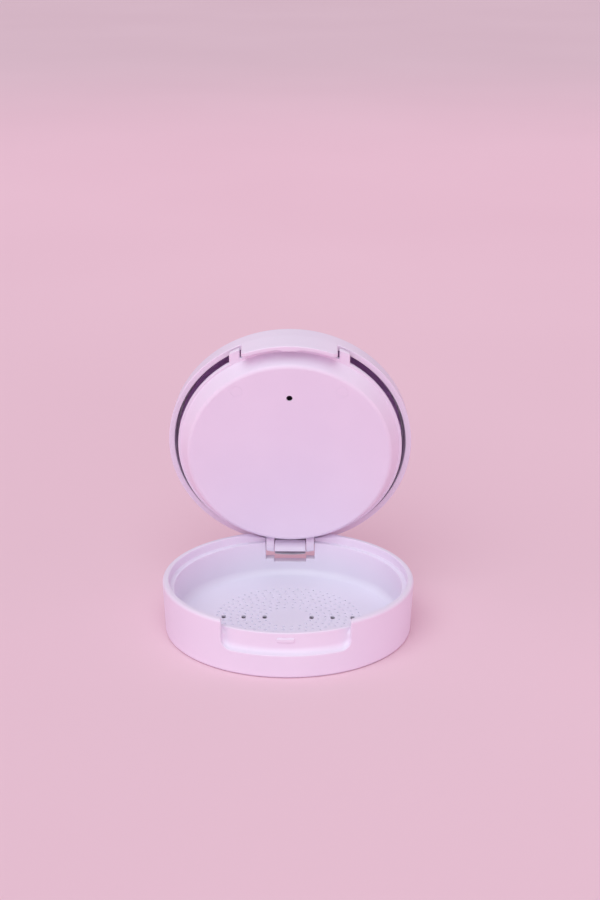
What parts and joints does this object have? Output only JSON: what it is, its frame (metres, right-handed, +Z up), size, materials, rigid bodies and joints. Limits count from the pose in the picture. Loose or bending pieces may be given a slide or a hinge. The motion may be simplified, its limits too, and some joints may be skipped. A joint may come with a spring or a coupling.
{
  "type": "compact case",
  "caption": "Round cosmetic compact: vented lower shell, flip-up tray with a metal powder pan, and a mirrored lid on a rear hinge pin, shown swung open.",
  "frame": {"origin": "centre of the lower shell, on the plane of its foot ring", "axes": "+Z up, +Y towards the hinge, -Y towards the thumb recess"},
  "size_m": [0.08, 0.0873, 0.0906],
  "materials": {
    "shell_plastic": "satin",
    "pin_steel": "drawn",
    "pan_metal": "satin",
    "powder": "pressed powder, matte",
    "adhesive": "matte",
    "mirror": "polished"
  },
  "bodies": {
    "base": {"base_shell": "shell_plastic", "hinge_pin": "pin_steel"},
    "tray": {"pan_tray": "shell_plastic", "pan_tape": "adhesive", "pan": "pan_metal", "powder_cake": "powder"},
    "lid": {"lid_shell": "shell_plastic", "mirror_tape": "adhesive", "mirror_glass": "mirror"}
  },
  "joints": [
    {"name": "tray_hinge", "type": "hinge", "parent": "base", "child": "tray", "pos_m": [0, 0.0374, 0.0135], "axis": [-1, 0, 0], "range_deg": [-77, 0]},
    {"name": "lid_hinge", "type": "hinge", "parent": "tray", "child": "lid", "pos_m": [0, 0.0374, 0.0135], "axis": [-1, 0, 0], "range_deg": [0, 50]}
  ]
}
